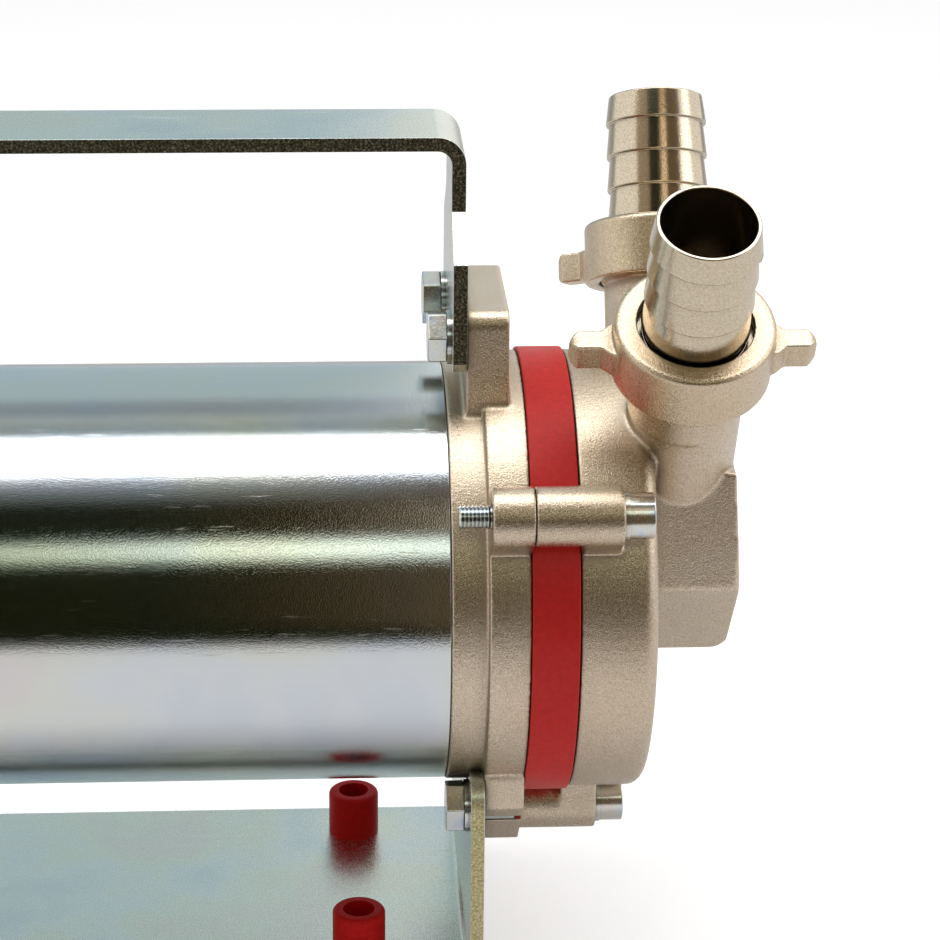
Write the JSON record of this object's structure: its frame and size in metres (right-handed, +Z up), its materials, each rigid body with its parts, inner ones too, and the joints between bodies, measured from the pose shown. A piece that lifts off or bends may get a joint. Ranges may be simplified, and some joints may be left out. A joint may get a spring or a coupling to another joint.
{
  "type": "electric transfer pump",
  "caption": "Direct-current side-channel transfer pump: plated steel motor tube, cast pump head with hose tails in a V, carry handle and folded base on rubber feet.",
  "frame": {"origin": "on the floor, at the centre of the four foot holes", "axes": "+X along the shaft towards the pump head, +Y away from the near hose tail, +Z up"},
  "size_m": [0.2458, 0.1132, 0.191],
  "materials": {
    "zinc_steel": "zinc plated, passivated, lightly scratched",
    "zinc_strip": "zinc plated, yellowish passivation",
    "zinc_fastener": "zinc plated",
    "bright_steel": "ground",
    "core_steel": "stacked lamination, varnished",
    "ferrite": "matte",
    "cast_aluminium": "cast, fine grain",
    "copper": "enamelled copper",
    "brass": "machined",
    "nickel_brass": "sand cast, nickel plated, satin",
    "turned_nickel_brass": "turned, nickel plated, bright",
    "plated_gland": "nickel plated",
    "carbon": "pressed carbon",
    "brown_resin": "laminate",
    "red_plastic": "moulded, matte",
    "red_rubber": "moulded",
    "black_rubber": "moulded"
  },
  "bodies": {
    "root": {"motor_tube": "zinc_steel", "field_magnets": "ferrite", "through_bolts": "bright_steel", "rear_end_cap": "cast_aluminium", "rear_bearing_outer_ring": "bright_steel", "front_bearing_outer_ring": "bright_steel", "brush_plate": "brown_resin", "brush_plate_screws": "bright_steel", "brush_holders": "brass", "near_brush_spring": "bright_steel", "far_brush_spring": "bright_steel", "cable_gland": "plated_gland", "cable_gland_nut": "plated_gland", "cable_gland_seal": "black_rubber", "pump_body": "nickel_brass", "shaft_seal": "black_rubber", "body_seal_ring": "black_rubber", "red_band": "red_plastic", "pump_cover": "nickel_brass", "body_screws": "zinc_fastener", "body_screw_washers": "zinc_fastener", "port_gaskets": "black_rubber", "carry_handle": "zinc_strip", "handle_bolts": "zinc_fastener", "handle_washers": "zinc_fastener", "base_plate": "zinc_strip", "base_bolts": "zinc_fastener", "base_washers": "zinc_fastener", "rubber_feet": "red_rubber"},
    "rotor": {"shaft": "bright_steel", "armature_core": "core_steel", "armature_windings": "copper", "commutator": "copper", "rear_bearing_inner_ring": "bright_steel", "front_bearing_inner_ring": "bright_steel", "impeller": "brass", "impeller_key": "bright_steel"},
    "rear_ball_set": {"rear_bearing_balls": "bright_steel"},
    "front_ball_set": {"front_bearing_balls": "bright_steel"},
    "near_brush": {"near_brush": "carbon"},
    "far_brush": {"far_brush": "carbon"},
    "near_tail": {"near_hose_tail": "turned_nickel_brass"},
    "near_nut": {"near_wing_nut": "nickel_brass"},
    "far_tail": {"far_hose_tail": "turned_nickel_brass"},
    "far_nut": {"far_wing_nut": "nickel_brass"}
  },
  "joints": [
    {"name": "rotor_spin", "type": "hinge", "parent": "root", "child": "rotor", "pos_m": [0, 0, 0.09], "axis": [1, 0, 0], "continuous": true},
    {"name": "front_ball_set_spin", "type": "hinge", "parent": "root", "child": "front_ball_set", "pos_m": [0, 0, 0.09], "axis": [1, 0, 0], "continuous": true},
    {"name": "rear_ball_set_spin", "type": "hinge", "parent": "root", "child": "rear_ball_set", "pos_m": [0, 0, 0.09], "axis": [1, 0, 0], "continuous": true},
    {"name": "near_nut_turn", "type": "hinge", "parent": "near_tail", "child": "near_nut", "pos_m": [0.1196, -0.03075, 0.15233], "axis": [0, -0.4695, 0.8829], "range_deg": [0, 1080]},
    {"name": "near_tail_lift", "type": "slide", "parent": "root", "child": "near_tail", "axis": [0, -0.4695, 0.8829], "range_m": [0, 0.00555]},
    {"name": "far_nut_turn", "type": "hinge", "parent": "far_tail", "child": "far_nut", "pos_m": [0.1196, 0.03075, 0.15233], "axis": [0, 0.4695, 0.8829], "range_deg": [0, 1080]},
    {"name": "far_tail_lift", "type": "slide", "parent": "root", "child": "far_tail", "axis": [0, 0.4695, 0.8829], "range_m": [0, 0.00555]},
    {"name": "near_brush_slide", "type": "slide", "parent": "root", "child": "near_brush", "axis": [0, -1, 0], "range_m": [0, 0.004], "stiffness_N_per_m": 250, "springref_m": -0.012, "deforming": ["near_brush_spring"]},
    {"name": "far_brush_slide", "type": "slide", "parent": "root", "child": "far_brush", "axis": [0, 1, 0], "range_m": [0, 0.004], "stiffness_N_per_m": 250, "springref_m": -0.012, "deforming": ["far_brush_spring"]}
  ],
  "couplings": [
    {"joint": "front_ball_set_spin", "follows": "rotor_spin", "ratio": 0.36477},
    {"joint": "rear_ball_set_spin", "follows": "rotor_spin", "ratio": 0.36477},
    {"joint": "near_tail_lift", "follows": "near_nut_turn", "m_per_rad": 0.00028871},
    {"joint": "far_tail_lift", "follows": "far_nut_turn", "m_per_rad": 0.00028871}
  ]
}
